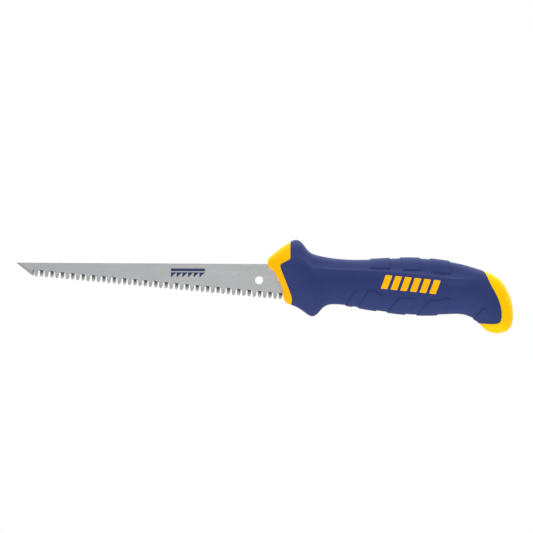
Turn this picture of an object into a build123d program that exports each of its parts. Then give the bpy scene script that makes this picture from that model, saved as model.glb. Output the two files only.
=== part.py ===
from build123d import *
import os
from math import cos, radians, sin, tan

# Drywall saw with a fixed blade.
# Frame: the origin is the centre of the blade's hanging hole, halfway through the
# blade's thickness. +X runs along the blade's straight back edge towards the butt of
# the handle, +Z points from the teeth to the back edge, and Y crosses the thickness.
# The saw's left side faces -Y. All sizes are in millimetres.

# ---- Blade ----
BLADE_THICKNESS = 1.2
BACK_EDGE_Z = 9.9             # straight back edge, above the hanging hole's centre
BACK_EDGE_CHAMFER = 0.25
TIP_X = -148.0                # plunge point
PLUNGE_END = (-137.2, 1.5)    # lower end of the plunge edge, ahead of the first tooth
PLUNGE_BEVEL_WIDTH = 1.0
PLUNGE_EDGE_LAND = 0.25       # thickness left at the ground plunge edge
HANG_HOLE_RADIUS = 2.4

# ---- Teeth: triple ground, with the facets on alternate sides ----
TOOTH_PITCH = 3.175           # 8 teeth to the inch
LAST_GULLET = 47
TOOTH_LINE_ANGLE = 5.09       # degrees between the line of tooth tips and the back edge
FIRST_TOOTH = (-135.9, 1.35)  # tip of the first tooth
TOOTH_DEPTH = 4.2
# A tooth's flanks, as (distance behind its tip, depth above the tooth line). On one face
# of the blade a tooth has its full width, and on the other its flanks are ground away.
REAR_FLANK_FULL = ((0.15, 0.0), (0.55, 0.45), (1.05, 1.2), (1.2, 2.0), (1.25, 3.5))
REAR_FLANK_GROUND = ((0.1, 0.3), (0.35, 0.8), (0.7, 1.5), (0.8, 2.5), (0.85, 3.7))
FRONT_FLANK_FULL = ((-1.3, 3.6), (-1.15, 2.4), (-0.95, 1.3), (-0.55, 0.35), (-0.2, 0.0))
FRONT_FLANK_GROUND = ((-0.7, 3.7), (-0.6, 2.4), (-0.45, 1.4), (-0.25, 0.7), (-0.15, 0.3))
# The third facet slopes the ground face back from the roots to a chisel edge.
FACE_FACET_ROOT = 4.25        # depth at which the facet starts
FACE_FACET_EDGE = 0.3         # depth at which it comes out on the other face
FACE_FACET_OUTLINE = ((-1.45, 4.5), (0.75, 4.5), (1.5, 2.0), (1.5, -1.0), (-1.5, -1.0))
PLUNGE_FLANK_FULL = ((1.75, 0.0), (1.9, 3.7))
PLUNGE_FLANK_GROUND = ((0.9, 0.7), (0.5, 3.7))

# ---- Tang, held inside the handle ----
HEEL_X = 19.0                 # end of the full-width blade, inside the nose
TANG_END_X = 112.0
TANG_TOP_Z = 6.0
TANG_BOTTOM_Z = -8.0
TANG_TAPER = 3.0              # how much each edge comes in by the tang's end
TANG_CORNER_RADIUS = 1.5
TANG_FIT = 0.05               # clearance round the blade in its pocket

# ---- Rivets through the core and the tang ----
RIVET_X = (36.0, 67.0, 98.0)
RIVET_Z = -1.0
RIVET_RADIUS = 2.0
RIVET_HEAD_RADIUS = 3.8
RIVET_HEAD_THICKNESS = 1.2
RIVET_SPAN = 13.0             # over both heads

# ---- Handle ----
GRIP_THICKNESS = 2.4          # soft layer over the hard core
PAD_HEIGHT = 0.5
MARK_DEPTH = 0.8
REACH = 45.0                  # tools that cut right across the handle reach this far

# Cross-sections from the nose to the butt. Each lies in a plane that contains the Y
# direction, and runs from a point on the top edge (X, Z) to one on the bottom edge
# (X, Z). Then come its half width, and how far down it the styling crease runs as a
# share of its length.
SECTIONS = (
    ((2.0, 11.5), (10.5, -12.0), 3.4, 0.10),
    ((5.6, 13.4), (13.8, -12.6), 4.8, 0.12),
    ((9.6, 16.8), (17.0, -14.1), 7.0, 0.16),
    ((14.1, 20.5), (20.6, -15.3), 9.8, 0.20),
    ((18.5, 23.3), (24.4, -16.9), 12.3, 0.235),
    ((22.3, 24.8), (28.2, -19.7), 14.05, 0.24),
    ((25.4, 23.5), (31.6, -21.7), 14.65, 0.245),
    ((28.2, 20.15), (35.0, -20.8), 14.35, 0.255),
    ((32.0, 16.6), (38.3, -17.2), 13.2, 0.26),
    ((37.3, 14.95), (41.6, -15.0), 11.9, 0.255),
    ((44.5, 13.7), (46.6, -14.4), 11.2, 0.245),
    ((54.4, 12.9), (54.4, -15.1), 11.3, 0.23),
    ((65.3, 12.9), (65.3, -17.05), 12.1, 0.225),
    ((77.0, 13.5), (76.0, -18.6), 12.9, 0.25),
    ((90.0, 13.95), (88.0, -20.0), 13.5, 0.275),
    ((103.0, 13.5), (99.5, -20.5), 13.6, 0.30),
    ((115.5, 11.95), (110.0, -20.25), 13.3, 0.315),
    ((126.0, 9.75), (118.5, -19.85), 12.9, 0.29),
    ((135.5, 6.85), (125.0, -20.3), 12.6, 0.24),
    ((142.5, 4.1), (130.0, -22.15), 12.3, 0.24),
    ((147.8, 0.0), (134.4, -25.0), 12.0, 0.25),
    ((151.3, -5.7), (137.8, -28.5), 11.3, 0.265),
    ((153.7, -12.0), (140.6, -30.5), 10.3, 0.28),
    ((154.65, -19.0), (143.4, -31.4), 8.9, 0.285),
    ((154.2, -25.0), (146.4, -31.45), 6.8, 0.29),
    ((153.1, -27.6), (148.1, -31.0), 5.2, 0.295),
    ((151.6, -29.0), (149.5, -30.5), 2.4, 0.30),
)
CORE_SECTIONS = SECTIONS[2:-3]  # the ones that the core's waist needs
CREASE_WIDTH = 0.85           # at the crease, as a share of the section's half width
FLANK_SLOPE = 1.1             # of the top flank where it meets the crease
SIDE_SLOPE = 0.35             # of the side where it leaves the crease
CREASE_RISE = (8.0, 38.0)     # the crease grows out of the guard between these X
CREASE_FADE = (118.0, 146.0)  # and melts into the butt between these X

# The concave front of the nose, from above the handle to below it.
NOSE_FRONT = (
    (5.1, 27.0), (5.1, 11.0), (6.6, 7.2), (10.0, 3.9), (13.3, -2.8), (14.6, -9.0),
    (15.8, -12.7), (19.5, -20.0),
)
NOSE_RIM_RADIUS = 1.2
# Seams where the soft grip meets the hard nose and the hard butt, top to bottom.
NOSE_SEAM_CORNERS = ((18.9, 13.0), (12.5, 9.6))
NOSE_SEAM_RADIUS = 1.0
NOSE_SEAM_CURVE = ((13.3, 6.8), (15.8, 0.5), (18.8, -7.2), (19.9, -11.5), (19.3, -16.0))
BUTT_SEAM_CURVE = (
    (134.6, 10.5), (137.4, 4.7), (139.5, -0.6), (143.4, -7.9), (146.1, -15.2),
    (146.7, -21.0), (145.5, -24.7), (142.6, -25.6), (137.0, -25.6), (126.0, -26.0),
)

# Raised pads of the grip. The top row wraps over the top edge and the bottom row under
# the bottom edge, so their outlines run past the handle there.
TOP_PADS = (
    ((68.1, 18.0), (67.8, 7.5), (79.4, 7.5), (79.4, 18.0)),
    ((85.0, 18.0), (87.3, 6.7), (97.6, 6.7), (97.6, 18.0)),
    ((103.0, 18.0), (105.0, 5.5), (116.0, 4.4), (116.0, 16.0)),
)
BOTTOM_PADS = (
    ((51.1, -18.0), (57.5, -6.0), (60.5, -7.5), (57.0, -18.0)),
    ((58.6, -19.0), (66.0, -6.4), (69.9, -6.1), (72.3, -7.9), (76.3, -8.6), (70.8, -19.0)),
    ((76.4, -21.0), (84.7, -10.2), (95.0, -10.8), (88.0, -22.0)),
    ((93.9, -23.0), (103.1, -11.5), (109.7, -11.4), (111.8, -10.5), (113.9, -10.6),
     (115.6, -11.2), (107.2, -22.0)),
    ((128.7, -25.0), (135.5, -16.2), (138.0, -17.5), (138.5, -24.0)),
)

# The flat mark let into each side of the grip: a row of plain slanted bars.
MARK_CENTRE = (91.45, -2.0)
MARK_BARS = 6
MARK_BAR_PITCH = 5.85
MARK_BAR_WIDTH = 4.0
MARK_BAR_HEIGHT = 8.5
MARK_LEAN = 15.0              # degrees that each bar leans
MARK_TILT = -5.5              # degrees that the row drops towards the butt

# The ink mark on the blade's left flat: a strip over a row of small saw teeth.
INK_THICKNESS = 0.03
INK_LEFT_X = -53.7
INK_LENGTH = 20.8
INK_TOP_Z = 6.9
INK_STRIP_HEIGHT = 1.7
INK_GAP = 0.6
INK_TEETH = 6
INK_TOOTH_DROP = 3.2


def on_side(outline):
    """A face in the X-Z plane with this closed outline."""
    return Plane.XZ * make_face(outline)


def across(outline):
    """A tool with this X-Z outline that cuts right across the handle along Y."""
    return extrude(on_side(outline), REACH, both=True)


def closed(points):
    return Polyline(*points, close=True)


# ---------------------------------------------------------------- handle envelope

def crease_strength(x):
    """1 along the grip, falling to 0 towards the nose and towards the butt."""
    low, high = CREASE_RISE
    start, end = CREASE_FADE
    return max(0.0, min(1.0, (x - low) / (high - low), (end - x) / (end - start)))


def section_wire(top, bottom, half_width, crease_place, grow):
    """One closed cross-section of the handle, grown outwards by this much.

    Local x runs down from the top edge to the bottom edge, and local y is across.
    """
    down = Vector(bottom[0] - top[0], 0, bottom[1] - top[1])
    length = down.length + 2 * grow
    down = down.normalized()
    start = Vector(top[0], 0, top[1]) - down * grow
    plane = Plane(origin=start, x_dir=down, z_dir=down.cross(Vector(0, 1, 0)))
    width = half_width + grow
    crease = Vector(crease_place * length, CREASE_WIDTH * width)
    strength = crease_strength(top[0])
    flank_slope = SIDE_SLOPE + (FLANK_SLOPE - SIDE_SLOPE) * strength
    halves = []
    for side in (1, -1):
        crease_point = (crease.X, side * crease.Y)
        flank = Spline(
            (0, 0), (0.34 * crease.X, side * 0.66 * crease.Y), crease_point,
            tangents=((0, side), (1, side * flank_slope)),
        )
        lower = Spline(
            crease_point, (0.5 * length, side * width),
            (0.84 * length, side * 0.76 * width), (length, 0),
            tangents=((1, side * SIDE_SLOPE), (0, -side)),
        )
        halves.append((flank, lower))
    right, left = halves
    return plane * Wire([right[0], right[1], left[1], left[0]])


def handle_body(sections, grow):
    return Solid.make_loft([section_wire(*section, grow) for section in sections])


def ahead_of_nose():
    """Everything ahead of the nose's concave front."""
    top, bottom = NOSE_FRONT[0], NOSE_FRONT[-1]
    return across([
        Spline(*NOSE_FRONT),
        Polyline(bottom, (-REACH, bottom[1]), (-REACH, top[1]), top),
    ])


def make_envelope():
    """The whole outside of the handle, without its pads, with the nose's rim rounded."""
    body = handle_body(SECTIONS, 0.0) - ahead_of_nose()
    front_faces = body.faces().sort_by(Axis.X)[:2]
    rim = [edge for face in front_faces for edge in face.edges() if abs(edge.center().Y) > 0.5]
    return fillet(rim, NOSE_RIM_RADIUS)


def gripped_length():
    """The length of the handle that the soft grip covers, between its two seams."""
    upper_corner, lower_corner = NOSE_SEAM_CORNERS
    nose_top = (upper_corner[0], REACH)
    nose_bottom = (NOSE_SEAM_CURVE[-1][0], -REACH)
    butt_top = (BUTT_SEAM_CURVE[0][0], REACH)
    butt_bottom = (BUTT_SEAM_CURVE[-1][0], -REACH)
    return across([
        FilletPolyline(nose_top, upper_corner, lower_corner, NOSE_SEAM_CURVE[0],
                       radius=NOSE_SEAM_RADIUS),
        Spline(*NOSE_SEAM_CURVE),
        Polyline(NOSE_SEAM_CURVE[-1], nose_bottom, butt_bottom, BUTT_SEAM_CURVE[-1]),
        Spline(*reversed(BUTT_SEAM_CURVE)),
        Polyline(BUTT_SEAM_CURVE[0], butt_top, nose_top),
    ])


# ---------------------------------------------------------------- blade

def tooth_line_z(x):
    return FIRST_TOOTH[1] - (x - FIRST_TOOTH[0]) * tan(radians(TOOTH_LINE_ANGLE))


def blade_outline():
    """The blade and its tang as one outline, before the gullets are ground."""
    return [
        (TIP_X, BACK_EDGE_Z), (HEEL_X, BACK_EDGE_Z),
        (HEEL_X, TANG_TOP_Z), (TANG_END_X, TANG_TOP_Z - TANG_TAPER),
        (TANG_END_X, TANG_BOTTOM_Z + TANG_TAPER), (HEEL_X, TANG_BOTTOM_Z),
        (HEEL_X, tooth_line_z(HEEL_X)), FIRST_TOOTH, PLUNGE_END,
    ]


def gap_outline(number, rear, front):
    """The gap after this tooth on one face of the blade, from flank to flank.

    Local x runs along the tooth line from the first tooth's tip, and local y is the
    depth above the line.
    """
    below = -1.0
    start = number * TOOTH_PITCH
    points = [(x + start, depth) for x, depth in rear]
    points.append(((rear[-1][0] + front[0][0] + TOOTH_PITCH) / 2 + start, TOOTH_DEPTH))
    points += [(x + TOOTH_PITCH + start, depth) for x, depth in front]
    points.append((points[-1][0], below))
    points.insert(0, (points[0][0], below))
    return closed(points)


def gullet(number):
    """The ground gap after this tooth, leaning through the blade's thickness.

    Even teeth keep their full width on the left face and odd teeth on the right face,
    so each gap leans from the full flank of one tooth to the ground flank of the next.
    The gap numbered -1 lies between the plunge edge and the first tooth.
    """
    rear_full, rear_ground = REAR_FLANK_FULL, REAR_FLANK_GROUND
    if number < 0:
        rear_full, rear_ground = PLUNGE_FLANK_FULL, PLUNGE_FLANK_GROUND
    outlines = [
        gap_outline(number, rear_full, FRONT_FLANK_GROUND),
        gap_outline(number, rear_ground, FRONT_FLANK_FULL),
    ]
    if number % 2 == 1:
        outlines.reverse()
    angle = radians(TOOTH_LINE_ANGLE)
    faces = []
    for outline, y in zip(outlines, (-BLADE_THICKNESS / 2, BLADE_THICKNESS / 2)):
        plane = Plane(
            origin=(FIRST_TOOTH[0], y, FIRST_TOOTH[1]),
            x_dir=(cos(angle), 0, -sin(angle)), z_dir=(0, -1, 0),
        )
        faces.append(make_face(plane * outline))
    return loft(faces)


def face_facets(side):
    """The wedges ground off alternate teeth on one face, the left (-1) or right (1)."""
    half = BLADE_THICKNESS / 2
    angle = radians(TOOTH_LINE_ANGLE)
    along = (cos(angle), 0, -sin(angle))
    origin = (FIRST_TOOTH[0], 0, FIRST_TOOTH[1])
    slope = BLADE_THICKNESS / (FACE_FACET_ROOT - FACE_FACET_EDGE)
    low, high = -1.0, FACE_FACET_ROOT
    profile = closed([
        (side * half, high), (side * (half - (high - low) * slope), low),
        (side * REACH, low), (side * REACH, high),
    ])
    start = Vector(*origin) - Vector(*along) * TOOTH_PITCH
    across = Plane(origin=start, x_dir=(0, 1, 0), z_dir=along)
    wedge = extrude(across * make_face(profile), (LAST_GULLET + 4) * TOOTH_PITCH)
    face = Plane(origin=origin, x_dir=along, z_dir=(0, -1, 0))
    facets = []
    for number in range(1 if side < 0 else 0, LAST_GULLET + 2, 2):
        outline = [(x + number * TOOTH_PITCH, depth) for x, depth in FACE_FACET_OUTLINE]
        block = extrude(face * make_face(closed(outline)), BLADE_THICKNESS, both=True)
        facets.append(wedge & block)
    return facets


def plunge_bevels():
    """The two long wedges ground off the plunge edge, one from each face."""
    tip = Vector(TIP_X, 0, BACK_EDGE_Z)
    edge = Vector(PLUNGE_END[0], 0, PLUNGE_END[1]) - tip
    inboard = Vector(0, 1, 0).cross(edge).normalized()
    if inboard.X < 0:
        inboard = -inboard
    plane = Plane(origin=tip, x_dir=inboard, z_dir=edge.normalized())
    half = BLADE_THICKNESS / 2
    clear = 0.5
    slope = (half - PLUNGE_EDGE_LAND / 2) / PLUNGE_BEVEL_WIDTH
    edge_depth = half - (PLUNGE_BEVEL_WIDTH + clear) * slope
    wedges = []
    for side in (1, -1):
        profile = closed([
            (-clear, side * edge_depth), (PLUNGE_BEVEL_WIDTH, side * half),
            (PLUNGE_BEVEL_WIDTH, side * (half + clear)), (-clear, side * (half + clear)),
        ])
        wedge = extrude(plane * make_face(profile), edge.length + 2 * clear)
        wedges.append(wedge.moved(Location(edge.normalized() * -clear)))
    return wedges


def make_blade():
    plate = extrude(on_side(closed(blade_outline())), BLADE_THICKNESS / 2, both=True)
    tang_end = plate.edges().filter_by(Axis.Y).group_by(Axis.X)[-1]
    plate = fillet(tang_end, TANG_CORNER_RADIUS)
    back = plate.edges().filter_by(Axis.X).group_by(Axis.Z)[-1]
    plate = chamfer(back, BACK_EDGE_CHAMFER)
    holes = [cylinder_across(0.0, 0.0, HANG_HOLE_RADIUS)]
    holes += [cylinder_across(x, RIVET_Z, RIVET_RADIUS) for x in RIVET_X]
    gullets = [gullet(number) for number in range(-1, LAST_GULLET + 1)]
    return plate - holes - gullets - plunge_bevels() - face_facets(-1) - face_facets(1)


def blade_pocket():
    """The slot for the blade and tang between the core's halves."""
    outline = offset(on_side(closed(blade_outline())), TANG_FIT)
    return extrude(outline, BLADE_THICKNESS / 2 + TANG_FIT, both=True)


# ---------------------------------------------------------------- rivets

def cylinder_across(x, z, radius, reach=REACH):
    return extrude(on_side(Pos(x, z) * Edge.make_circle(radius)), reach, both=True)


def make_rivets():
    half = RIVET_SPAN / 2
    shaft_half = half - RIVET_HEAD_THICKNESS
    rivets = []
    for x in RIVET_X:
        rivet = cylinder_across(x, RIVET_Z, RIVET_HEAD_RADIUS, half)
        rivet -= (cylinder_across(x, RIVET_Z, RIVET_HEAD_RADIUS + 1, shaft_half)
                  - cylinder_across(x, RIVET_Z, RIVET_RADIUS, shaft_half))
        rivets.append(rivet)
    return Compound(rivets)


def head_bores(start):
    """Bores over the rivet heads, from this distance off the middle outwards."""
    return [
        cylinder_across(x, RIVET_Z, RIVET_HEAD_RADIUS)
        - cylinder_across(x, RIVET_Z, RIVET_HEAD_RADIUS + 1, start)
        for x in RIVET_X
    ]


# ---------------------------------------------------------------- marks

def mark_tool():
    """The row of slanted bars, cutting right across the handle."""
    lean = MARK_BAR_HEIGHT / 2 * tan(radians(MARK_LEAN))
    half_width = MARK_BAR_WIDTH / 2
    half_height = MARK_BAR_HEIGHT / 2
    bars = []
    for number in range(MARK_BARS):
        middle = (number - (MARK_BARS - 1) / 2) * MARK_BAR_PITCH
        bar = closed([
            (middle - half_width + lean, half_height),
            (middle + half_width + lean, half_height),
            (middle + half_width - lean, -half_height),
            (middle - half_width - lean, -half_height),
        ])
        bars.append(across(Pos(*MARK_CENTRE) * Rot(0, 0, MARK_TILT) * bar))
    return bars


def make_blade_ink():
    strip_bottom = INK_TOP_Z - INK_STRIP_HEIGHT
    right_x = INK_LEFT_X + INK_LENGTH
    shapes = [[
        (INK_LEFT_X, INK_TOP_Z), (right_x, INK_TOP_Z),
        (right_x, strip_bottom), (INK_LEFT_X, strip_bottom),
    ]]
    pitch = INK_LENGTH / INK_TEETH
    teeth_top = strip_bottom - INK_GAP
    for number in range(INK_TEETH):
        left = INK_LEFT_X + number * pitch
        shapes.append([
            (left, teeth_top), (left + pitch, teeth_top), (left, teeth_top - INK_TOOTH_DROP),
        ])
    flat = -BLADE_THICKNESS / 2
    ink = []
    for shape in shapes:
        layer = extrude(on_side(closed(shape)), INK_THICKNESS)
        ink.append(layer.moved(Location((0, flat, 0))))
    return Compound(ink)


# ---------------------------------------------------------------- assembly

def make_parts():
    envelope = make_envelope()
    waist = handle_body(CORE_SECTIONS, -GRIP_THICKNESS)
    under_marks = handle_body(SECTIONS, -MARK_DEPTH)
    over_pads = handle_body(SECTIONS, PAD_HEIGHT)
    region = gripped_length()
    pads = [over_pads & across(closed(outline)) for outline in TOP_PADS + BOTTOM_PADS]

    shaft_half = RIVET_SPAN / 2 - RIVET_HEAD_THICKNESS
    shafts = [cylinder_across(x, RIVET_Z, RIVET_RADIUS) for x in RIVET_X]
    core = (envelope - region) + ((waist & region) - head_bores(shaft_half))
    core = core - blade_pocket() - shafts

    grip = ((envelope + pads) & region) - (waist - head_bores(RIVET_SPAN / 2))
    marks = [(envelope & bar) - under_marks for bar in mark_tool()]
    grip = grip - marks
    mark_solids = [solid for mark in marks for solid in mark.solids()]

    return {
        "blade": make_blade(),
        "blade_mark": make_blade_ink(),
        "core_left": split(core, bisect_by=Plane.XZ, keep=Keep.TOP),
        "core_right": split(core, bisect_by=Plane.XZ, keep=Keep.BOTTOM),
        "tang_rivets": make_rivets(),
        "grip": grip,
        "grip_mark_left": Compound([s for s in mark_solids if s.center().Y < 0]),
        "grip_mark_right": Compound([s for s in mark_solids if s.center().Y > 0]),
    }


os.makedirs("parts", exist_ok=True)
for name, shape in make_parts().items():
    export_step(shape, f"parts/{name}.step")
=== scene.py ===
import math

import bmesh
import bpy
import numpy as np
from mathutils import Matrix, Vector


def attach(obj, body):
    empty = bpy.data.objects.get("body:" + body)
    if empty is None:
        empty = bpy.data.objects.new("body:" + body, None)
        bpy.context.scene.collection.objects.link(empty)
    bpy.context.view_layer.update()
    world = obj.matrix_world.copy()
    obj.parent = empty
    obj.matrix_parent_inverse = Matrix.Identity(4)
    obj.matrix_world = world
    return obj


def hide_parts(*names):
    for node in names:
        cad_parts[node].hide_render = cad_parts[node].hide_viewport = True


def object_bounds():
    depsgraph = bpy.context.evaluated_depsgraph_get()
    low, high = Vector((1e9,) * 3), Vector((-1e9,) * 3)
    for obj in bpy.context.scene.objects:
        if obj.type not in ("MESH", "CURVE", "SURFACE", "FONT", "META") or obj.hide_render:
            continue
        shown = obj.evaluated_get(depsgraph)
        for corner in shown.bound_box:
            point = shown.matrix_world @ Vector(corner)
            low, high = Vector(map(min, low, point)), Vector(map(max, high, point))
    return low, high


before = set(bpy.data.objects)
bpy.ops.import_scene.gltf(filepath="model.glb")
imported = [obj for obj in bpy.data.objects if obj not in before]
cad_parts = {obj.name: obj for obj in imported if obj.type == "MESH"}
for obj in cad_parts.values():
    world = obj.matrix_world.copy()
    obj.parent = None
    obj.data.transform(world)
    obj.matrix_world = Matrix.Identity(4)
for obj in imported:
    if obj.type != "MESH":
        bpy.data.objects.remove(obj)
CAD_BOX = [list(corner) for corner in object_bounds()]

# Drywall saw. The frame's origin is the centre of the blade's hanging hole, +X runs to
# the butt, +Z to the blade's back edge, and the saw's left side faces -Y. Shapes are
# worked out in millimetres and turned into metres when their mesh is made.
MM = 0.001

# ---- Handle surface ----
# Sections from the nose's front to the butt: top point (X, Z), bottom point (X, Z),
# half width, and the share of the section's length at which the styling crease runs.
SECTIONS = (
    ((5.05, 11.0), (15.2, -11.6), 5.4, 0.10),
    ((5.2, 12.3), (15.6, -12.5), 5.9, 0.11),
    ((6.0, 13.9), (16.6, -13.6), 6.6, 0.13),
    ((8.4, 16.0), (18.2, -14.5), 7.8, 0.16),
    ((12.4, 19.3), (20.6, -15.3), 9.8, 0.195),
    ((17.1, 22.5), (23.6, -16.6), 12.1, 0.23),
    ((22.3, 24.75), (28.2, -19.7), 14.0, 0.24),
    ((25.4, 23.5), (31.6, -21.7), 14.6, 0.245),
    ((28.2, 20.15), (35.0, -20.8), 14.3, 0.255),
    ((32.0, 16.6), (38.3, -17.2), 13.2, 0.26),
    ((37.3, 14.95), (41.6, -15.0), 11.9, 0.255),
    ((44.5, 13.7), (46.6, -14.4), 11.2, 0.245),
    ((54.4, 12.9), (54.4, -15.1), 11.3, 0.23),
    ((65.3, 12.9), (65.3, -17.05), 12.1, 0.225),
    ((77.0, 13.5), (76.0, -18.6), 12.9, 0.25),
    ((90.0, 13.95), (88.0, -20.0), 13.5, 0.275),
    ((103.0, 13.5), (99.5, -20.5), 13.6, 0.30),
    ((115.5, 11.95), (110.0, -20.25), 13.3, 0.315),
    ((126.0, 9.75), (118.5, -19.85), 12.9, 0.29),
    ((135.5, 6.85), (125.0, -20.3), 12.6, 0.24),
    ((142.5, 4.1), (130.0, -22.15), 12.3, 0.24),
    ((147.8, 0.0), (134.4, -25.0), 12.0, 0.25),
    ((151.3, -5.7), (137.8, -28.5), 11.3, 0.265),
    ((153.7, -12.0), (140.6, -30.5), 10.3, 0.28),
    ((154.6, -19.0), (143.4, -31.35), 8.9, 0.285),
    ((154.2, -25.0), (146.4, -31.4), 6.8, 0.29),
    ((153.1, -27.6), (148.1, -31.0), 5.0, 0.295),
    ((151.7, -28.9), (149.6, -30.35), 2.4, 0.30),
)
NOSE_FRONT = (
    (5.05, 11.0), (5.3, 9.1), (6.7, 7.2), (8.5, 5.9), (10.1, 3.9), (11.8, 0.2),
    (13.3, -2.8), (14.25, -5.9), (14.6, -9.0), (15.2, -11.6),
)
BOW_REACH = 13.0             # the nose's concave bow fades out over this length
CREASE_WIDTH = 0.85          # at the crease, as a share of the section's half width
FLANK_SLOPE = 1.1            # of the top flank where it meets the crease
SIDE_SLOPE = 0.35            # of the side where it leaves the crease
CREASE_RISE = (8.0, 38.0)    # the crease grows out of the guard between these X
CREASE_FADE = (118.0, 146.0)  # and melts into the butt between these X
# How far each part of a section keeps the direction of its end, as a share of its height.
FLANK_LEAD = 0.4
UPPER_SIDE_LEAD = 0.35
LOWER_SIDE_LEAD = 0.60
TOP_FULLNESS = 0.7           # how broadly the top and the bottom edge round over
BOTTOM_FULLNESS = 0.55
# Points across each part of a section.
FLANK_COLUMNS = 36
UPPER_SIDE_COLUMNS = 22
LOWER_SIDE_COLUMNS = 52

# Row spacing along the handle: (from this section number on, spacing).
ROW_SPACING = ((0, 0.25), (2, 0.17), (5.6, 0.38), (18.4, 0.21), (24.0, 0.44))
INNER_SECTIONS = (1.5, 25.0)  # an inner solid starts and ends at these section numbers
INNER_COARSENESS = 3.0       # its points stand this much further apart
SLOT_HALF_WIDTH = 0.65       # of the blade's slot
RIM_ROWS = 7                 # rows on each side of the nose's rim that are rounded
RIM_PASSES = 30
RIM_PULL = 0.5               # share of the way to its neighbours a row moves in a pass
CAP_ROWS = 26                # rows across the nose's concave front
BUTT_CAP_ROWS = 12
BUTT_CAP_RISE = 0.7          # how far the butt's end domes out
REACH = 45.0                 # tools that cut right across the handle reach this far

# ---- Seams, pads and marks, in side view ----
NOSE_SEAM_CORNERS = ((18.9, 13.0), (12.5, 9.6))
NOSE_SEAM_CURVE = ((13.3, 6.8), (15.8, 0.5), (18.8, -7.2), (19.9, -11.5), (19.3, -16.0))
NOSE_SEAM_RADII = (1.0, 1.6)  # of its two rounded corners
NOSE_SEAM_POINTS = 60
BUTT_SEAM_CURVE = (
    (134.6, 10.5), (137.4, 4.7), (139.5, -0.6), (143.4, -7.9), (146.1, -15.2),
    (146.7, -21.0), (145.5, -24.7), (142.6, -25.6), (137.0, -25.6), (126.0, -26.0),
)
BUTT_SEAM_POINTS = 120
SEAM_DIP = 0.28              # depth of the groove along each seam
SEAM_DIP_WIDTH = 0.25
PAD_HEIGHT = 0.6
PAD_EDGE = 0.65              # width of a pad's crisp edges
TOP_PAD_FADE = 1.6           # length over which a top pad rises at its front
# Pads over the top edge: the foot's front end, a point up the front edge, the foot's rear
# end, and how far the foot drops from one end to the other.
TOP_PADS = (
    ((66.8, 7.25), (67.1, 18.0), (79.7, 7.3), 0.0),
    ((86.4, 6.4), (84.4, 16.0), (97.9, 6.4), 0.0),
    ((104.2, 5.2), (102.9, 15.0), (116.2, 4.1), 1.1),
)
# Pads under the bottom edge: two points of the front edge, the ridge from front to rear, a
# point down the rear edge, and the length over which the pad melts away behind.
BOTTOM_PADS = (
    ((50.9, -18.0), (57.3, -6.0), ((57.0, -5.8), (60.5, -7.2)), (57.5, -18.0), 2.5),
    ((58.3, -19.0), (65.7, -6.4),
     ((65.5, -6.2), (69.9, -5.8), (72.3, -7.6), (76.8, -8.4)), (71.4, -19.0), 1.2),
    ((76.1, -21.0), (84.4, -10.2), ((84.3, -9.95), (95.2, -10.5)), (88.4, -22.0), 0.9),
    ((93.6, -23.0), (102.8, -11.5),
     ((102.6, -11.2), (109.7, -11.1), (111.8, -10.2), (113.9, -10.3), (116.0, -10.9)),
     (107.6, -22.0), 0.9),
    ((128.4, -25.0), (135.2, -16.2), ((135.0, -15.9), (139.5, -17.2)), (141.0, -25.0), 4.0),
)

GRIP_THICKNESS = 2.4         # of the soft grip over the core's waist

MARK_CENTRE = (91.45, -2.0)
MARK_BARS = 6
MARK_BAR_PITCH = 5.85
MARK_BAR_SIZE = (4.0, 8.5)
MARK_LEAN = 15.0             # degrees that each bar leans
MARK_TILT = -5.5             # degrees that the row drops towards the butt
MARK_DEPTH = 0.8
MARK_CORNER = 0.45

RIVET_X = (36.0, 67.0, 98.0)
RIVET_Z = -1.0
RIVET_RADIUS = 2.0
RIVET_HEAD_RADIUS = 3.8
RIVET_HEAD_Y = 5.3           # underside of each head
MARK_TOOL_START = 1.0        # a mark's bars are cut out from this far off the middle
PARTING_GAP = 0.04           # from the middle to each half of the core
# Side view of the pocket for the blade and its tang, and of all that a core half can be.
BLADE_POCKET = (
    (-2.0, 9.95), (19.05, 9.95), (19.05, 6.05), (112.05, 3.05), (112.05, -5.05),
    (19.05, -8.05), (19.05, -12.5), (-2.0, -12.5),
)
HALF_OUTLINE = ((-20, -60), (180, -60), (180, 60), (-20, 60))
SIDES = ((-1, "left"), (1, "right"))


def natural_spline(knots, values, at):
    """Values of the natural cubic spline through these knots."""
    knots = np.asarray(knots, float)
    values = np.asarray(values, float).reshape(len(knots), -1)
    step = np.diff(knots)
    count = len(knots)
    system = np.eye(count)
    bends = np.zeros_like(values)
    for i in range(1, count - 1):
        system[i, i - 1:i + 2] = step[i - 1], 2 * (step[i - 1] + step[i]), step[i]
        bends[i] = 6 * ((values[i + 1] - values[i]) / step[i]
                        - (values[i] - values[i - 1]) / step[i - 1])
    bends = np.linalg.solve(system, bends)
    at = np.asarray(at, float)
    i = np.clip(np.searchsorted(knots, at) - 1, 0, count - 2)
    width = step[i][:, None]
    after = (at - knots[i])[:, None]
    before = width - after
    return ((bends[i] * before ** 3 + bends[i + 1] * after ** 3) / (6 * width)
            + (values[i] / width - bends[i] * width / 6) * before
            + (values[i + 1] / width - bends[i + 1] * width / 6) * after)


def curve_through(points, count):
    """Evenly numbered points on a smooth curve through these ones."""
    points = np.asarray(points, float)
    knots = np.concatenate([[0], np.cumsum(np.linalg.norm(np.diff(points, axis=0), axis=1))])
    return natural_spline(knots, points, np.linspace(0, knots[-1], count))


def smooth(t):
    """A soft step from 0 to 1."""
    t = np.clip(t, 0, 1)
    return t * t * (3 - 2 * t)


def bezier(p0, p1, p2, p3, t):
    return (p0 * (1 - t) ** 3 + 3 * p1 * t * (1 - t) ** 2
            + 3 * p2 * t * t * (1 - t) + p3 * t ** 3)


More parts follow.
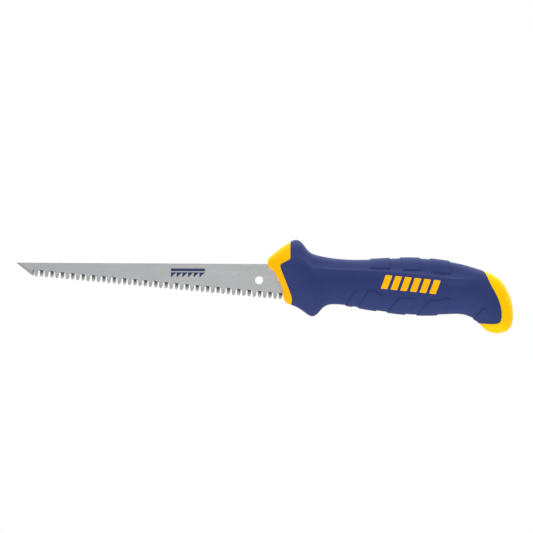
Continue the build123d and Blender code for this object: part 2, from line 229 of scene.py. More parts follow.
# ---------------------------------------------------------------- handle surface

class HandleSurface:
    """The handle's outside as rings of points, from the nose's front to the butt."""

    def __init__(self, grow=0.0, coarseness=1.0):
        self.top = np.array([s[0] for s in SECTIONS])
        self.bottom = np.array([s[1] for s in SECTIONS])
        steps = (np.linalg.norm(np.diff(self.top, axis=0), axis=1)
                 + np.linalg.norm(np.diff(self.bottom, axis=0), axis=1)) / 2
        self.knots = np.concatenate([[0], np.cumsum(steps)])
        self.grow = grow
        self.coarseness = coarseness

    def place_of(self, section):
        """Distance along the handle of a section number, which may be a fraction."""
        return np.interp(section, np.arange(len(self.knots)), self.knots)

    def rows(self, first=0.0, last=None):
        """Distances along the handle of all rows between two section numbers."""
        last = len(self.knots) - 1 if last is None else last
        places = []
        bounds = [start for start, _ in ROW_SPACING] + [len(self.knots) - 1]
        for (start, spacing), end in zip(ROW_SPACING, bounds[1:]):
            low = self.place_of(max(start, first))
            high = self.place_of(min(end, last))
            if high <= low:
                continue
            count = max(2, int(round((high - low) / (spacing * self.coarseness))))
            places += list(np.linspace(low, high, count, endpoint=False))
        return np.array(places + [self.place_of(last)])

    def rings(self, places):
        """Rings of (X, Y, Z) points, one per place along the handle."""
        table = np.array([[*s[0], *s[1], s[2], s[3]] for s in SECTIONS])
        values = natural_spline(self.knots, table, places)
        top, bottom = values[:, 0:2], values[:, 2:4]
        down = bottom - top
        length = np.linalg.norm(down, axis=1, keepdims=True)
        down = down / length
        top = top - down * self.grow
        length = length + 2 * self.grow
        width = values[:, 4:5] + self.grow
        crease_u = values[:, 5:6] * length
        crease_y = CREASE_WIDTH * width
        low, high = CREASE_RISE
        start, end = CREASE_FADE
        rising = (top[:, :1] - low) / (high - low)
        fading = (end - top[:, :1]) / (end - start)
        strength = np.clip(np.minimum(rising, fading), 0, 1)
        slope = SIDE_SLOPE + (FLANK_SLOPE - SIDE_SLOPE) * strength
        flank = np.linspace(0, 1, int(FLANK_COLUMNS / self.coarseness))[None, :]
        upper = np.linspace(0, 1, int(UPPER_SIDE_COLUMNS / self.coarseness))[None, 1:]
        lower = np.linspace(0, 1, int(LOWER_SIDE_COLUMNS / self.coarseness))[None, 1:]
        lead = FLANK_LEAD * crease_u
        middle = length / 2
        rise = UPPER_SIDE_LEAD * (middle - crease_u)
        fall = LOWER_SIDE_LEAD * (length - middle)
        u = np.hstack([
            bezier(0 * length, 0 * length, crease_u - lead, crease_u, flank),
            bezier(crease_u, crease_u + rise, middle - rise, middle, upper),
            bezier(middle, middle + fall, length, length, lower),
        ])
        y = np.hstack([
            bezier(0 * width, TOP_FULLNESS * crease_y, crease_y - lead * slope, crease_y,
                   flank),
            bezier(crease_y, crease_y + rise * SIDE_SLOPE, width, width, upper),
            bezier(width, width, BOTTOM_FULLNESS * width, 0 * width, lower),
        ])
        x = top[:, :1] + down[:, :1] * u
        z = top[:, 1:] + down[:, 1:] * u
        bow = self.bow(u / length) * (1 - smooth(places[:, None] / BOW_REACH))
        x = x + down[:, 1:] * bow
        z = z - down[:, :1] * bow
        left = np.stack([x, -y, z], axis=2)
        right = np.stack([x, y, z], axis=2)[:, -2:0:-1]
        return np.concatenate([left, right], axis=1)

    def bow(self, share):
        """How far the nose's front stands off the straight line between its ends."""
        front = np.array(NOSE_FRONT)
        chord = front[-1] - front[0]
        length = np.linalg.norm(chord)
        along = chord / length
        across = np.array([along[1], -along[0]])
        offset = front - front[0]
        shares = offset @ along / length
        bows = natural_spline(shares, offset @ across, share.ravel())
        return bows.reshape(share.shape)


def ring_normals(rings):
    """Outward directions at the points of these rings."""
    along = np.gradient(rings, axis=0)
    around = (np.roll(rings, -1, axis=1) - np.roll(rings, 1, axis=1)) / 2
    normals = np.cross(around, along)
    lengths = np.linalg.norm(normals, axis=2, keepdims=True)
    return normals / np.maximum(lengths, 1e-9)


# ---------------------------------------------------------------- seams

def rounded_corner(before, corner, after, radius, count=9):
    """Points of a quadratic curve that rounds a corner over about this radius."""
    before, corner, after = (np.array(p, float) for p in (before, corner, after))
    start = corner + (before - corner) / np.linalg.norm(before - corner) * radius
    end = corner + (after - corner) / np.linalg.norm(after - corner) * radius
    t = np.linspace(0, 1, count)[:, None]
    return start * (1 - t) ** 2 + 2 * corner * t * (1 - t) + end * t * t


def nose_seam():
    """Side view of the grip's front end, from above the handle to below it."""
    upper, lower = NOSE_SEAM_CORNERS
    top = (upper[0], REACH)
    curve = curve_through(NOSE_SEAM_CURVE, NOSE_SEAM_POINTS)
    bottom = (NOSE_SEAM_CURVE[-1][0], -REACH)
    return np.vstack([
        [top],
        rounded_corner(top, upper, lower, NOSE_SEAM_RADII[0]),
        rounded_corner(upper, lower, curve[0], NOSE_SEAM_RADII[1]),
        curve,
        [bottom],
    ])


def butt_seam():
    """Side view of the grip's rear end, from above the handle to below it."""
    curve = curve_through(BUTT_SEAM_CURVE, BUTT_SEAM_POINTS)
    return np.vstack([
        [(BUTT_SEAM_CURVE[0][0], REACH)], curve, [(BUTT_SEAM_CURVE[-1][0], -REACH)],
    ])


def distance_to_line(x, z, line):
    """Distance in side view from each point to a polyline."""
    best = np.full(x.shape, 1e9)
    for (ax, az), (bx, bz) in zip(line[:-1], line[1:]):
        dx, dz = bx - ax, bz - az
        t = np.clip(((x - ax) * dx + (z - az) * dz) / (dx * dx + dz * dz), 0, 1)
        best = np.minimum(best, np.hypot(x - ax - t * dx, z - az - t * dz))
    return best


def seam_dip(x, z):
    """How far the skin sinks into the groove along a seam."""
    distance = np.minimum(distance_to_line(x, z, nose_seam()),
                          distance_to_line(x, z, butt_seam()))
    return -SEAM_DIP * np.exp(-(distance / SEAM_DIP_WIDTH) ** 2)


# ---------------------------------------------------------------- pads

def line_x(z, low, high):
    """X on the slanted line through two side-view points, at height z."""
    return low[0] + (z - low[1]) * (high[0] - low[0]) / (high[1] - low[1])


def pad_on_top(x, z, foot_left, top_left, foot_right, foot_drop):
    """A pad over the top edge: crisp along its foot and its rear end, softer in front."""
    foot = foot_left[1] - foot_drop * (x - foot_left[0]) / (foot_right[0] - foot_left[0])
    above = smooth((z - foot) / PAD_EDGE)
    ahead = smooth((x - line_x(z, foot_left, top_left)) / TOP_PAD_FADE)
    behind = smooth((foot_right[0] - x) / PAD_EDGE)
    return above * ahead * behind


def pad_below(x, z, foot_left, top_left, ridge, foot_right, fade):
    """A pad under the bottom edge: crisp along its front and ridge, softer behind."""
    ridge_x = [p[0] for p in ridge]
    ridge_z = [p[1] for p in ridge]
    under = smooth((np.interp(x, ridge_x, ridge_z) - z) / PAD_EDGE)
    front = smooth((x - line_x(z, foot_left, top_left)) / PAD_EDGE)
    behind = smooth((line_x(z, foot_right, ridge[-1]) - x) / fade)
    return under * front * behind


def pad_field(x, z):
    """1 on the raised pads and 0 off them."""
    pads = [pad_on_top(x, z, *pad) for pad in TOP_PADS]
    pads += [pad_below(x, z, *pad) for pad in BOTTOM_PADS]
    return np.max(pads, axis=0)


# ---------------------------------------------------------------- meshes

WELD_DISTANCE = 1e-7         # points closer than this, in metres, become one


def mesh_object(name, vertices, faces):
    mesh = bpy.data.meshes.new(name)
    mesh.from_pydata((np.asarray(vertices, float) * MM).tolist(), [], faces)
    mesh.validate()
    piece = bpy.data.objects.new(name, mesh)
    bpy.context.scene.collection.objects.link(piece)
    return piece


def ring_mesh(name, rings):
    """A closed skin over these rings, with its two ends closed by single faces."""
    rows, columns = rings.shape[:2]
    faces = []
    for i in range(rows - 1):
        for j in range(columns):
            k = (j + 1) % columns
            faces.append((i * columns + j, i * columns + k,
                          (i + 1) * columns + k, (i + 1) * columns + j))
    faces.append(tuple(range(columns - 1, -1, -1)))
    faces.append(tuple((rows - 1) * columns + j for j in range(columns)))
    piece = mesh_object(name, rings.reshape(-1, 3), faces)
    weld(piece)
    return piece


def weld(piece):
    """Joins coincident points, drops what collapses, and turns all faces outwards."""
    shape = bmesh.new()
    shape.from_mesh(piece.data)
    bmesh.ops.remove_doubles(shape, verts=shape.verts, dist=WELD_DISTANCE)
    bmesh.ops.dissolve_degenerate(shape, edges=shape.edges, dist=WELD_DISTANCE)
    bmesh.ops.recalc_face_normals(shape, faces=shape.faces)
    shape.to_mesh(piece.data)
    shape.free()


def prism(name, outline, y_low=-REACH, y_high=REACH):
    """A closed prism along Y with this side-view outline."""
    count = len(outline)
    vertices = [(x, y, z) for y in (y_low, y_high) for x, z in outline]
    faces = [tuple(range(count)), tuple(range(2 * count - 1, count - 1, -1))]
    faces += [(i, (i + 1) % count, count + (i + 1) % count, count + i) for i in range(count)]
    piece = mesh_object(name, vertices, faces)
    weld(piece)
    return piece


def circle(x, z, radius, count=48):
    angles = np.linspace(0, 2 * math.pi, count, endpoint=False)
    return [(x + radius * math.cos(a), z + radius * math.sin(a)) for a in angles]


def combine(piece, tool, operation):
    """piece becomes the boolean of itself and the tool."""
    modifier = piece.modifiers.new("boolean", "BOOLEAN")
    modifier.operation = operation
    modifier.solver = "MANIFOLD"
    modifier.object = tool
    graph = bpy.context.evaluated_depsgraph_get()
    mesh = bpy.data.meshes.new_from_object(piece.evaluated_get(graph))
    piece.modifiers.clear()
    piece.data = mesh
    return piece


def copy_of(piece, name):
    twin = bpy.data.objects.new(name, piece.data.copy())
    bpy.context.scene.collection.objects.link(twin)
    return twin


def discard(*tools):
    for tool in tools:
        bpy.data.objects.remove(tool)


# ---------------------------------------------------------------- handle pieces

def nose_cap(rim):
    """Rings that close the nose's concave front, from the blade slot out to the rim."""
    rings = []
    for share in np.linspace(0, 1, CAP_ROWS, endpoint=False):
        ring = rim.copy()
        full = np.abs(rim[:, 1])
        reach = np.maximum(full * share, np.minimum(full, SLOT_HALF_WIDTH / 2))
        ring[:, 1] = np.sign(rim[:, 1]) * reach
        rings.append(ring)
    return np.array(rings)


def butt_cap(end, before):
    """Rings that dome over the last section at the butt."""
    centre = end.mean(axis=0)
    outward = centre - before.mean(axis=0)
    outward /= np.linalg.norm(outward)
    rings = []
    for angle in np.linspace(0, math.pi / 2, BUTT_CAP_ROWS + 1)[1:-1]:
        rings.append(centre + (end - centre) * math.cos(angle)
                     + outward * BUTT_CAP_RISE * math.sin(angle))
    return np.array(rings)


def round_rim(rings, rim_row):
    """Rounds the nose's rim by averaging the rows on both sides of it."""
    rows = np.arange(rim_row - RIM_ROWS, rim_row + RIM_ROWS + 1)
    weight = (1 - np.abs(rows - rim_row) / (RIM_ROWS + 1))[:, None, None]
    for _ in range(RIM_PASSES):
        average = (rings[rows - 1] + rings[rows + 1]) / 2
        rings[rows] += RIM_PULL * weight * (average - rings[rows])
    return rings


def make_outside(name):
    """The whole outside of the handle with its pads and seam grooves, as one solid."""
    surface = HandleSurface()
    rings = surface.rings(surface.rows())
    x, z = rings[..., 0], rings[..., 2]
    height = PAD_HEIGHT * pad_field(x, z) + seam_dip(x, z)
    rings = rings + ring_normals(rings) * height[..., None]
    cap = nose_cap(rings[0])
    rings = np.concatenate([cap, rings, butt_cap(rings[-1], rings[-3])])
    rings = round_rim(rings, len(cap))
    return ring_mesh(name, rings)


def make_inner(name, depth):
    """A plain solid that lies this far under the handle's outside."""
    surface = HandleSurface(grow=-depth, coarseness=INNER_COARSENESS)
    return ring_mesh(name, surface.rings(surface.rows(*INNER_SECTIONS)))


def mark_bars():
    """Side-view outlines of the mark's slanted bars."""
    width, height = MARK_BAR_SIZE
    lean = height / 2 * math.tan(math.radians(MARK_LEAN))
    tilt = math.radians(MARK_TILT)
    outlines = []
    for number in range(MARK_BARS):
        middle = (number - (MARK_BARS - 1) / 2) * MARK_BAR_PITCH
        corners = [
            (middle - width / 2 + lean, height / 2), (middle + width / 2 + lean, height / 2),
            (middle + width / 2 - lean, -height / 2), (middle - width / 2 - lean, -height / 2),
        ]
        outline = []
        for i, corner in enumerate(corners):
            before, after = corners[i - 1], corners[(i + 1) % 4]
            outline += rounded_corner(before, corner, after, MARK_CORNER, 5).tolist()
        outlines.append([
            (MARK_CENTRE[0] + x * math.cos(tilt) - z * math.sin(tilt),
             MARK_CENTRE[1] + x * math.sin(tilt) + z * math.cos(tilt))
            for x, z in outline
        ])
    return outlines


def join(name, pieces):
    """One object that holds all these meshes."""
    shape = bmesh.new()
    for piece in pieces:
        shape.from_mesh(piece.data)
    mesh = bpy.data.meshes.new(name)
    shape.to_mesh(mesh)
    shape.free()
    discard(*pieces)
    whole = bpy.data.objects.new(name, mesh)
    bpy.context.scene.collection.objects.link(whole)
    return whole


def mark_tool(name, side, floor):
    """The bars, from the side down to the floor of their pockets."""
    low, high = sorted((side * MARK_TOOL_START, side * REACH))
    tool = join(name, [prism("bar", bar, low, high) for bar in mark_bars()])
    return combine(tool, floor, "DIFFERENCE")


def build_handle():
    """The grip, the core and the two marks, cut from one outside."""
    outside = make_outside("outside")
    waist = make_inner("waist", GRIP_THICKNESS)
    floor = make_inner("floor", MARK_DEPTH)
    region = prism("region", np.vstack([nose_seam(), butt_seam()[::-1]]))

    grip = combine(copy_of(outside, "soft_grip"), region, "INTERSECT")
    grip = combine(grip, waist, "DIFFERENCE")

    core = combine(copy_of(outside, "core"), region, "DIFFERENCE")
    middle = combine(copy_of(waist, "middle"), region, "INTERSECT")
    core = combine(core, middle, "UNION")
    marks = {}
    for side, label in SIDES:
        tool = mark_tool("mark_tool", side, floor)
        marks[label] = combine(copy_of(outside, "mark_" + label), tool, "INTERSECT")
        grip = combine(grip, tool, "DIFFERENCE")
        discard(tool)
    discard(outside, waist, floor, region, middle)
    return grip, core, marks


# ---------------------------------------------------------------- materials

class Shader:
    """A node material that is built up from a Principled shader."""

    def __init__(self, name):
        self.material = bpy.data.materials.new(name)
        self.material.use_nodes = True
        self.nodes = self.material.node_tree.nodes
        self.links = self.material.node_tree.links
        self.shader = self.nodes["Principled BSDF"]
        self.place = self.nodes.new("ShaderNodeTexCoord").outputs["Object"]

    def set(self, **inputs):
        for key, value in inputs.items():
            self.shader.inputs[key.replace("_", " ")].default_value = value

    def link(self, output, key):
        self.links.new(output, self.shader.inputs[key])

    def stretched(self, scale):
        """The piece's own coordinates, stretched by this much on each axis."""
        node = self.nodes.new("ShaderNodeMapping")
        node.inputs["Scale"].default_value = scale
        self.links.new(self.place, node.inputs["Vector"])
        return node.outputs["Vector"]

    def noise(self, size_mm, detail=2.0, stretch=None):
        """Noise whose blotches are about this many millimetres across."""
        node = self.nodes.new("ShaderNodeTexNoise")
        node.inputs["Scale"].default_value = 1 / (size_mm * MM)
        node.inputs["Detail"].default_value = detail
        source = self.place if stretch is None else self.stretched(stretch)
        self.links.new(source, node.inputs["Vector"])
        return node.outputs["Fac"]

    def part_of(self, vector, axis):
        """A vector's X, Y or Z."""
        node = self.nodes.new("ShaderNodeSeparateXYZ")
        self.links.new(vector, node.inputs[0])
        return node.outputs[axis]

    def along(self, vector, direction):
        """How far a vector reaches in a direction."""
        node = self.nodes.new("ShaderNodeVectorMath")
        node.operation = "DOT_PRODUCT"
        self.links.new(vector, node.inputs[0])
        node.inputs[1].default_value = direction
        return node.outputs["Value"]

    def times(self, first, second):
        node = self.nodes.new("ShaderNodeMath")
        node.operation = "MULTIPLY"
        self.links.new(first, node.inputs[0])
        self.links.new(second, node.inputs[1])
        return node.outputs["Value"]

    def map(self, value, low, high, start=0.3, end=0.7):
        """Goes from low to high as the value goes from start to end, which suit noise."""
        node = self.nodes.new("ShaderNodeMapRange")
        node.inputs["From Min"].default_value = start
        node.inputs["From Max"].default_value = end
        node.inputs["To Min"].default_value = low
        node.inputs["To Max"].default_value = high
        self.links.new(value, node.inputs["Value"])
        return node.outputs["Result"]

    def mix(self, first, second, share):
        """Mixes two colours; each may be a colour or an output, as may the share."""
        node = self.nodes.new("ShaderNodeMix")
        node.data_type = "RGBA"
        for key, value in (("A", first), ("B", second)):
            socket = [s for s in node.inputs if s.name == key and s.type == "RGBA"][0]
            if isinstance(value, bpy.types.NodeSocket):
                self.links.new(value, socket)
            else:
                socket.default_value = (*value, 1)
        factor = [s for s in node.inputs if s.name == "Factor" and s.type == "VALUE"][0]
        if isinstance(share, bpy.types.NodeSocket):
            self.links.new(share, factor)
        else:
            factor.default_value = share
        return [s for s in node.outputs if s.type == "RGBA"][0]

    def bump(self, height, depth_mm):
        node = self.nodes.new("ShaderNodeBump")
        node.inputs["Strength"].default_value = 1.0
        node.inputs["Distance"].default_value = depth_mm * MM
        self.links.new(height, node.inputs["Height"])
        return node.outputs["Normal"]


NOSE_YELLOW, BUTT_YELLOW = (0.96, 0.475, 0.001), (0.99, 0.575, 0.0)
MARK_YELLOW = (0.98, 0.49, 0.005)
YELLOW_SHADE = (0.80, 0.40, 0.0)
SHADE_DRIFT = (20.0, 130.0)  # the yellow changes from nose to butt between these X
GRIP_BLUE, GRIP_RUBBED = (0.0225, 0.0355, 0.137), (0.027, 0.042, 0.154)
# Colour of the shade painted into the grip's concave creases.
GRIP_CREASE_SHADE = (0.010, 0.016, 0.055)
CREASE_SHADE_Z = (-4.0, 4.0)       # the painted crease shade grows fainter upwards between these Z


def yellow_plastic(name, front, back):
    """Satin moulded plastic with a faint flow mottle and a fine spark-eroded skin.

    Its shade drifts a little from the handle's front to its back.
    """
    made = Shader(name)
    mottle = made.noise(9.0, detail=3.0)
    drift = made.map(made.part_of(made.place, "X"), 0.0, 1.0,
                     SHADE_DRIFT[0] * MM, SHADE_DRIFT[1] * MM)
    colour = made.mix(front, back, drift)
    dark = made.mix(colour, YELLOW_SHADE, 0.15)
    made.link(made.mix(dark, colour, made.map(mottle, 0, 1)), "Base Color")
    made.link(made.map(made.noise(1.2), 0.34, 0.46), "Roughness")
    made.link(made.bump(made.noise(0.35, detail=1.0), 0.01), "Normal")
    made.set(Specular_IOR_Level=0.05)
    return made.material


def blue_soft_grip():
    """Soft matte elastomer: fine grain, slightly rubbed high spots, and painted shade
    darkening its concave creases, more towards the bottom.
    """
    made = Shader("blue_soft_grip")
    cloud = made.noise(14.0, detail=3.0)
    grain = made.noise(0.45, detail=2.0)
    tone = made.mix(GRIP_BLUE, GRIP_RUBBED, made.map(cloud, 0, 0.7))
    tone = made.mix(tone, GRIP_RUBBED, made.map(grain, 0.0, 0.5, 0.45, 0.75))
    # Painted shade: concave creases, found by pointiness, are darkened, less so higher up.
    pointed = made.nodes.new("ShaderNodeNewGeometry").outputs["Pointiness"]
    crease_shade = made.map(pointed, 1.0, 0.0, 0.455, 0.495)
    low = made.map(made.part_of(made.place, "Z"), 1.0, 0.4,
                   CREASE_SHADE_Z[0] * MM, CREASE_SHADE_Z[1] * MM)
    tone = made.mix(tone, GRIP_CREASE_SHADE, made.times(crease_shade, low))
    made.link(tone, "Base Color")
    made.link(made.map(grain, 0.50, 0.66), "Roughness")
    made.link(made.bump(grain, 0.03), "Normal")
    made.set(Specular_IOR_Level=0.13)
    return made.material


# The line of tooth tips, and the direction across it towards the back edge.
FIRST_TOOTH = (-135.9, 1.35)
TOOTH_UP = (0.0887, 0.0, 0.9961)
HARDENED_HEIGHTS = (2.6, 4.4)  # the hardened tone fades between these above the tips
FACET_SHADE_HEIGHTS = (0.8, 3.3)  # the painted shade on the teeth's facets deepens between these above the tips
FRONT_STEEL_X = (-140.0, -70.0)  # the front's tone fades out between these
STEEL_DARK, STEEL_LIGHT = (0.50, 0.51, 0.515), (0.60, 0.61, 0.615)
STEEL_CLOUD, STEEL_MARKS = (0.47, 0.48, 0.485), (0.38, 0.38, 0.385)
# What the square of a normal's Y tells: a face above the first pair is the blade's flat,
# the second pair parts the plunge bevel from the teeth's facets, and a face below the
# third pair looks along the blade.
FLAT_SQUARES, FACET_SQUARES, EDGE_SQUARES = (0.985, 0.997), (0.85, 0.90), (0.70, 0.75)
DOWNWARD_Z, UPWARD_Z = (-0.2, -0.1), (0.3, 0.5)
HARDENED_STEEL = (0.43, 0.435, 0.44)
FRONT_STEEL = (0.45, 0.475, 0.49)
# Painted shade for faces turned from the flat: the teeth's facets from tip to root, the plunge
# bevel and the back edge.
SHADED_FACET_TIP, SHADED_FACET_ROOT = (0.36, 0.35, 0.33), (0.055, 0.055, 0.05)
SHADED_BEVEL_STEEL = (0.20, 0.20, 0.20)
SHADED_BACK_EDGE_STEEL = (0.12, 0.12, 0.125)


def blade_steel():
    """Lacquered strip steel: long fine grinding lines, cloudy tone, a few handling marks, and
    painted shade on faces turned from the flat.
    """
    made = Shader("blade_steel")
    lines = made.noise(0.5, detail=4.0, stretch=(0.02, 1.0, 1.0))
    cloud = made.noise(16.0, detail=4.0, stretch=(0.6, 1.0, 1.0))
    marks = made.noise(2.2, detail=6.0)
    tone = made.mix(STEEL_DARK, STEEL_LIGHT, made.map(lines, 0, 1))
    tone = made.mix(tone, STEEL_CLOUD, made.map(cloud, 0, 0.7))
    tone = made.mix(tone, STEEL_MARKS, made.map(marks, 0, 0.5, 0.62, 0.8))

    height = made.along(made.place, TOOTH_UP)
    tips = MM * (FIRST_TOOTH[0] * TOOTH_UP[0] + FIRST_TOOTH[1] * TOOTH_UP[2])
    hardened = made.map(height, 0.8, 0.0, tips + HARDENED_HEIGHTS[0] * MM,
                        tips + HARDENED_HEIGHTS[1] * MM)
    tone = made.mix(tone, HARDENED_STEEL, hardened)
    front = made.map(made.part_of(made.place, "X"), 0.7, 0.0,
                     FRONT_STEEL_X[0] * MM, FRONT_STEEL_X[1] * MM)
    tone = made.mix(tone, FRONT_STEEL, front)

    # Painted shade: a face's tone depends on how far it is turned from the flat, and up or
    # down; turned faces are painted darker than the flat.
    normal = made.nodes.new("ShaderNodeNewGeometry").outputs["True Normal"]
    square = made.times(made.part_of(normal, "Y"), made.part_of(normal, "Y"))
    tilted = made.map(square, 1.0, 0.0, *FLAT_SQUARES)
    down_facing_shade = made.map(made.part_of(normal, "Z"), 1.0, 0.0, *DOWNWARD_Z)
    down_facing_shade = made.times(down_facing_shade, tilted)
    up_facing_shade = made.map(made.part_of(normal, "Z"), 0.0, 1.0, *UPWARD_Z)
    up_facing_shade = made.times(up_facing_shade, tilted)
    rootward = made.map(height, 0.0, 1.0, tips + FACET_SHADE_HEIGHTS[0] * MM,
                        tips + FACET_SHADE_HEIGHTS[1] * MM)
    shaded_ground_facet = made.mix(SHADED_FACET_TIP, SHADED_FACET_ROOT, rootward)
    shaded_facet = made.mix(SHADED_BEVEL_STEEL, shaded_ground_facet, made.map(square, 0.0, 1.0, *FACET_SQUARES))
    facing = made.map(square, 0.0, 1.0, *EDGE_SQUARES)
    tone = made.mix(tone, shaded_facet, made.times(down_facing_shade, facing))
    tone = made.mix(tone, SHADED_BACK_EDGE_STEEL, up_facing_shade)
    made.link(tone, "Base Color")
    made.set(Metallic=1.0)
    made.link(made.map(lines, 0.30, 0.44), "Roughness")
    made.link(made.bump(lines, 0.006), "Normal")
    return made.material


INK_FULL, INK_WORN = (0.012, 0.020, 0.080), (0.03, 0.045, 0.12)
RIVET_DARK, RIVET_LIGHT = (0.45, 0.45, 0.46), (0.58, 0.58, 0.59)


def blade_ink():
    """Thin navy printing ink with slightly worn, uneven cover."""
    made = Shader("blade_ink")
    cover = made.noise(0.5, detail=3.0)
    made.link(made.mix(INK_FULL, INK_WORN, made.map(cover, 0, 0.8, 0.4, 0.8)), "Base Color")
    made.link(made.map(cover, 0.35, 0.5), "Roughness")
    made.link(made.bump(cover, 0.004), "Normal")
    return made.material


def rivet_steel():
    """Plain pressed steel."""
    made = Shader("rivet_steel")
    turned = made.noise(0.6, detail=3.0)
    made.link(made.mix(RIVET_DARK, RIVET_LIGHT, turned), "Base Color")
    made.link(made.map(turned, 0.32, 0.48), "Roughness")
    made.link(made.bump(turned, 0.008), "Normal")
    made.set(Metallic=1.0)
    return made.material


# ---------------------------------------------------------------- assembly

SHARP_ANGLE = math.radians(38)  # edges sharper than this stay sharp


def finish_piece(piece, material, slot, *nodes):
    """Gives a piece its material, smooth shading, its body and the CAD node it replaces."""
    piece.data.materials.clear()
    piece.data.materials.append(material)
    piece.data.shade_smooth()
    piece.data.set_sharp_from_angle(angle=SHARP_ANGLE)
    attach(piece, "root")
    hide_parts(*nodes)


def paint_node(node, material):
    """A CAD node that stays in sight gets its own material."""
    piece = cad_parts[node]
    piece.data.materials.clear()
    piece.data.materials.append(material)


def open_core(core):
    """Splits the core into its two halves and opens the blade's pocket and rivet bores."""
    slot = prism("slot", BLADE_POCKET, -SLOT_HALF_WIDTH, SLOT_HALF_WIDTH)
    core = combine(core, slot, "DIFFERENCE")
    discard(slot)
    shaft = [prism("shaft", circle(x, RIVET_Z, RIVET_RADIUS)) for x in RIVET_X]
    heads = []
    for x in RIVET_X:
        for side in (-1, 1):
            low, high = sorted((side * RIVET_HEAD_Y, side * REACH))
            heads.append(prism("head", circle(x, RIVET_Z, RIVET_HEAD_RADIUS), low, high))
    for tool in shaft + heads:
        core = combine(core, tool, "DIFFERENCE")
    discard(*shaft, *heads)
    halves = {}
    for side, label in SIDES:
        low, high = sorted((side * PARTING_GAP, side * REACH))
        half_space = prism("half", HALF_OUTLINE, low, high)
        shell = copy_of(core, "core_" + label + "_shell")
        halves[label] = combine(shell, half_space, "INTERSECT")
        discard(half_space)
    discard(core)
    return halves


def build_saw():
    grip, core, marks = build_handle()
    core_yellow = yellow_plastic("yellow_plastic", NOSE_YELLOW, BUTT_YELLOW)
    mark_yellow = yellow_plastic("yellow_mark", MARK_YELLOW, MARK_YELLOW)
    finish_piece(grip, blue_soft_grip(), "blue_soft_grip", "grip")
    for label, half in open_core(core).items():
        finish_piece(half, core_yellow, "yellow_plastic", "core_" + label)
    for label, mark in marks.items():
        finish_piece(mark, mark_yellow, "yellow_mark", "grip_mark_" + label)
    paint_node("blade", blade_steel())
    paint_node("blade_mark", blade_ink())
    paint_node("tang_rivets", rivet_steel())


# ---------------------------------------------------------------- stage

PICTURE_WIDTH = 0.3246       # width of the view at the saw, in metres
PICTURE_CENTRE = (0.00446, 0.00838)
CAMERA_LENS = 135.0
CAMERA_ROLL = 0.33           # degrees
SENSOR_WIDTH = 36.0
VIEW_DEPTH = 20.0
FLOOR_DROP = 0.10            # below the saw's lowest point, in metres
FLOOR_HALF = 6.0
FLOOR_FADE = 0.06            # the floor's glow changes from front to back over this
FLOOR_GLOW_STRENGTH = (1.6, 0.77)    # glow the floor gives off in front of the saw and behind it, in place of bounced light


def make_floor():
    """A plain pale floor, white to the camera, that glows for all other rays, brighter in
    front, in place of bouncing light upwards.
    """
    lowest = CAD_BOX[0][2] - FLOOR_DROP
    mesh = bpy.data.meshes.new("floor")
    corners = ((-1, -1), (1, -1), (1, 1), (-1, 1))
    mesh.from_pydata([(x * FLOOR_HALF, y * FLOOR_HALF, lowest) for x, y in corners],
                     [], [(0, 1, 2, 3)])
    floor = bpy.data.objects.new("floor", mesh)
    bpy.context.scene.collection.objects.link(floor)
    paint = Shader("floor")
    across = paint.part_of(paint.place, "Y")
    # Painted light: the floor glows, more in front of the saw than behind it.
    glow = paint.map(across, FLOOR_GLOW_STRENGTH[0], FLOOR_GLOW_STRENGTH[1], -FLOOR_FADE, FLOOR_FADE)
    seen = paint.nodes.new("ShaderNodeLightPath").outputs["Is Camera Ray"]
    strength = paint.nodes.new("ShaderNodeMix")
    paint.links.new(seen, strength.inputs["Factor"])
    paint.links.new(glow, strength.inputs["A"])
    strength.inputs["B"].default_value = 1.0
    emission = paint.nodes.new("ShaderNodeEmission")
    paint.links.new(strength.outputs["Result"], emission.inputs["Strength"])
    output = paint.nodes["Material Output"]
    paint.links.new(emission.outputs["Emission"], output.inputs["Surface"])
    mesh.materials.append(paint.material)


# Light from the back half of the studio, then soft glows: (direction, brightness,
# how narrow the glow is).
STUDIO_BACK = 2.0
BACK_FADE = (-0.05, 0.15)    # the back light sets in between these shares of +Y
STUDIO_GLOWS = (
    ((0.0, -0.50, 0.87), 1.0, 10.0),
    ((0.0, -0.17, 0.98), 3.4, 10.0),
    ((0.0, 0.17, 0.98), 1.2, 10.0),
    ((-0.71, 0.0, 0.71), 1.2, 10.0),
    ((0.0, -1.0, 0.0), 0.55, 60.0),
)


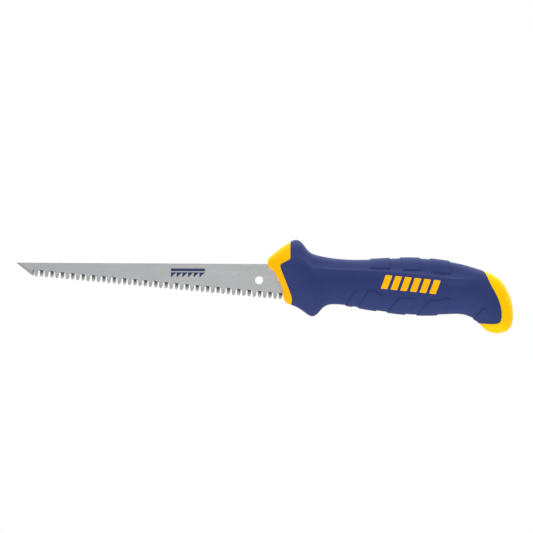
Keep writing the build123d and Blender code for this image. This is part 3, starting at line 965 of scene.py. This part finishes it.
def make_world():
    """White to the camera. For everything else, soft light from above and behind."""
    world = bpy.data.worlds.new("studio")
    bpy.context.scene.world = world
    world.use_nodes = True
    nodes, links = world.node_tree.nodes, world.node_tree.links
    direction = nodes.new("ShaderNodeTexCoord").outputs["Generated"]
    split = nodes.new("ShaderNodeSeparateXYZ")
    links.new(direction, split.inputs[0])
    behind = nodes.new("ShaderNodeMapRange")
    links.new(split.outputs["Y"], behind.inputs["Value"])
    behind.inputs["From Min"].default_value = BACK_FADE[0]
    behind.inputs["From Max"].default_value = BACK_FADE[1]
    behind.inputs["To Max"].default_value = STUDIO_BACK
    total = behind.outputs["Result"]

    def math_node(operation, value, number):
        node = nodes.new("ShaderNodeMath")
        node.operation = operation
        links.new(value, node.inputs[0])
        node.inputs[1].default_value = number
        return node

    for aim, brightness, narrowness in STUDIO_GLOWS:
        dot = nodes.new("ShaderNodeVectorMath")
        dot.operation = "DOT_PRODUCT"
        dot.inputs[1].default_value = Vector(aim).normalized()
        links.new(direction, dot.inputs[0])
        ahead = math_node("MAXIMUM", dot.outputs["Value"], 0.0)
        glow = math_node("POWER", ahead.outputs["Value"], narrowness)
        add = math_node("MULTIPLY_ADD", glow.outputs["Value"], brightness)
        links.new(total, add.inputs[2])
        total = add.outputs["Value"]
    light = nodes["Background"]
    links.new(total, light.inputs["Strength"])
    light.inputs["Color"].default_value = (1, 1, 1, 1)
    white = nodes.new("ShaderNodeBackground")
    white.inputs["Color"].default_value = (1, 1, 1, 1)
    path = nodes.new("ShaderNodeLightPath")
    mix = nodes.new("ShaderNodeMixShader")
    links.new(path.outputs["Is Camera Ray"], mix.inputs["Fac"])
    links.new(light.outputs["Background"], mix.inputs[1])
    links.new(white.outputs["Background"], mix.inputs[2])
    links.new(mix.outputs["Shader"], nodes["World Output"].inputs["Surface"])


def make_camera():
    data = bpy.data.cameras.new("camera")
    data.lens = CAMERA_LENS
    data.sensor_width = SENSOR_WIDTH
    data.clip_end = VIEW_DEPTH
    camera = bpy.data.objects.new("camera", data)
    distance = PICTURE_WIDTH * CAMERA_LENS / SENSOR_WIDTH
    camera.location = (PICTURE_CENTRE[0], -distance, PICTURE_CENTRE[1])
    level = Matrix.Rotation(math.radians(90), 4, "X")
    roll = Matrix.Rotation(math.radians(CAMERA_ROLL), 4, "Z")
    camera.rotation_euler = (level @ roll).to_euler()
    bpy.context.scene.collection.objects.link(camera)
    bpy.context.scene.camera = camera


bpy.context.scene.view_settings.view_transform = "Standard"
build_saw()
make_floor()
make_world()
make_camera()
